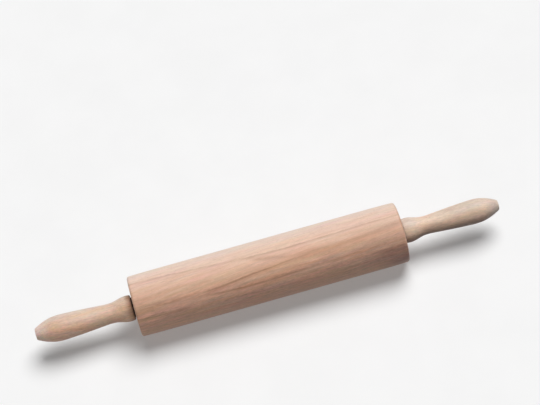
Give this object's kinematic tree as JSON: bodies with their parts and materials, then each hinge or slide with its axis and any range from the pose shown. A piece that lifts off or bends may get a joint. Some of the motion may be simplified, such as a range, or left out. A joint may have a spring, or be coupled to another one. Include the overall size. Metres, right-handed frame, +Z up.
{
  "type": "rolling pin",
  "caption": "Roller-type rolling pin: a straight beech barrel that spins on ball bearings between turned grips fixed to a steel axle.",
  "frame": {"origin": "middle of the barrel, on the axis that the barrel turns about, which is also the middle of the whole pin's box", "axes": "+X along the pin's axis towards the right grip (the slimmer one), +Z up when the pin lies on a table, +Y away from the user"},
  "size_m": [0.4328, 0.056, 0.056],
  "materials": {
    "barrel_wood": "fine sanded beech, pinkish, unvarnished",
    "grip_wood": "fine sanded beech, a little paler and yellower, unvarnished",
    "bright_steel": "drawn bright steel rod",
    "clip_steel": "blackened spring steel",
    "race_steel": "ground bearing steel",
    "ball_steel": "polished bearing steel",
    "shield_steel": "pressed sheet steel",
    "cage_nylon": "natural nylon",
    "housing_nylon": "black nylon, satin",
    "collar_nylon": "black nylon, satin",
    "insert_brass": "turned brass"
  },
  "bodies": {
    "grips_and_axle": {"axle": "bright_steel", "left_handle": "grip_wood", "right_handle": "grip_wood", "left_handle_insert": "insert_brass", "right_handle_insert": "insert_brass", "left_thrust_collar": "collar_nylon", "right_thrust_collar": "collar_nylon", "left_retaining_clip": "clip_steel", "right_retaining_clip": "clip_steel", "left_inner_race": "race_steel", "right_inner_race": "race_steel"},
    "barrel": {"barrel": "barrel_wood", "left_bearing_housing": "housing_nylon", "right_bearing_housing": "housing_nylon", "left_outer_race": "race_steel", "right_outer_race": "race_steel", "left_bearing_shields": "shield_steel", "right_bearing_shields": "shield_steel"},
    "left_ball_train": {"left_bearing_balls": "ball_steel", "left_ball_cage": "cage_nylon"},
    "right_ball_train": {"right_bearing_balls": "ball_steel", "right_ball_cage": "cage_nylon"}
  },
  "joints": [
    {"name": "barrel_spin", "type": "hinge", "parent": "grips_and_axle", "child": "barrel", "pos_m": [0, 0, 0], "axis": [1, 0, 0], "continuous": true},
    {"name": "left_ball_train_spin", "type": "hinge", "parent": "grips_and_axle", "child": "left_ball_train", "pos_m": [-0.1206, 0, 0], "axis": [1, 0, 0], "continuous": true},
    {"name": "right_ball_train_spin", "type": "hinge", "parent": "grips_and_axle", "child": "right_ball_train", "pos_m": [0.1206, 0, 0], "axis": [1, 0, 0], "continuous": true}
  ],
  "couplings": [
    {"joint": "left_ball_train_spin", "follows": "barrel_spin", "ratio": 0.6323},
    {"joint": "right_ball_train_spin", "follows": "barrel_spin", "ratio": 0.6323}
  ]
}
